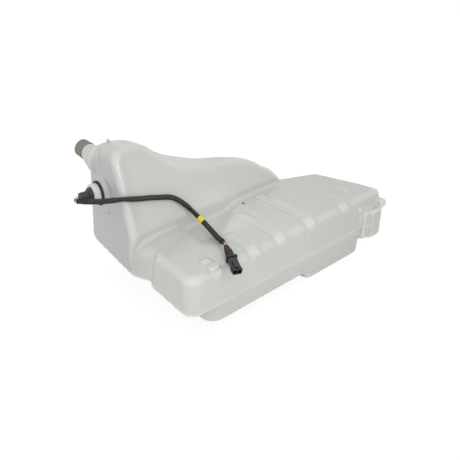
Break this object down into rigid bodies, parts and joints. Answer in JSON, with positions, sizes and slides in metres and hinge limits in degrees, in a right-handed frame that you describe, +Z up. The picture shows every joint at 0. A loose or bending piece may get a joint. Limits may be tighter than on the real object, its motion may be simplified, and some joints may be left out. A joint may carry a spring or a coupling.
{
  "type": "coolant expansion tank",
  "caption": "Milky blown-plastic coolant expansion tank with tall tower, ribbed deck, sump, filler neck and a swing-float level sensor on a short plugged lead.",
  "frame": {"origin": "middle of the base, on the plane of the feet and the sump floor, the free lead apart", "axes": "+X along the tank's length from the sensor end to the mounting ear, +Y to the tower's back wall, +Z up"},
  "size_m": [0.5786, 0.3969, 0.2911],
  "materials": {
    "tank_plastic": "milky, slightly translucent blown plastic, smooth and waxy",
    "sleeve_plastic": "brown-grey matt plastic with light scuffs",
    "gasket_rubber": "matt black rubber",
    "collar_plastic": "opaque white plastic, smooth",
    "head_plastic": "black moulded plastic, slightly glossy",
    "reed_glass": "clear greenish envelope",
    "pin_steel": "drawn stainless pin",
    "float_plastic": "black foamed plastic",
    "magnet": "dark sintered magnet",
    "conduit_plastic": "black ribbed conduit, slightly dusty",
    "tape": "yellow adhesive tape",
    "red_insulation": "red wire insulation",
    "black_insulation": "black wire insulation",
    "boot_rubber": "black rubber boot",
    "connector_plastic": "black moulded connector",
    "contact_metal": "tinned contact"
  },
  "bodies": {
    "tank": {"tank_body": "tank_plastic", "neck_sleeve": "sleeve_plastic", "sensor_gasket": "gasket_rubber", "sensor_collar": "collar_plastic", "sensor_housing": "head_plastic", "reed_switch": "reed_glass", "float_pin": "pin_steel", "conduit": "conduit_plastic", "marking_tape": "tape", "red_wire_sensor_end": "red_insulation", "black_wire_sensor_end": "black_insulation", "red_wire_plug_end": "red_insulation", "black_wire_plug_end": "black_insulation", "connector_boot": "boot_rubber", "connector_housing": "connector_plastic", "contact_left": "contact_metal", "contact_right": "contact_metal"},
    "float": {"sensor_float": "float_plastic", "float_magnet": "magnet"}
  },
  "joints": [
    {"name": "float_swing", "type": "hinge", "parent": "tank", "child": "float", "pos_m": [-0.20344, 0.10962, 0.19054], "axis": [-0.1236, -0.9923, 0], "range_deg": [0, 36]}
  ]
}
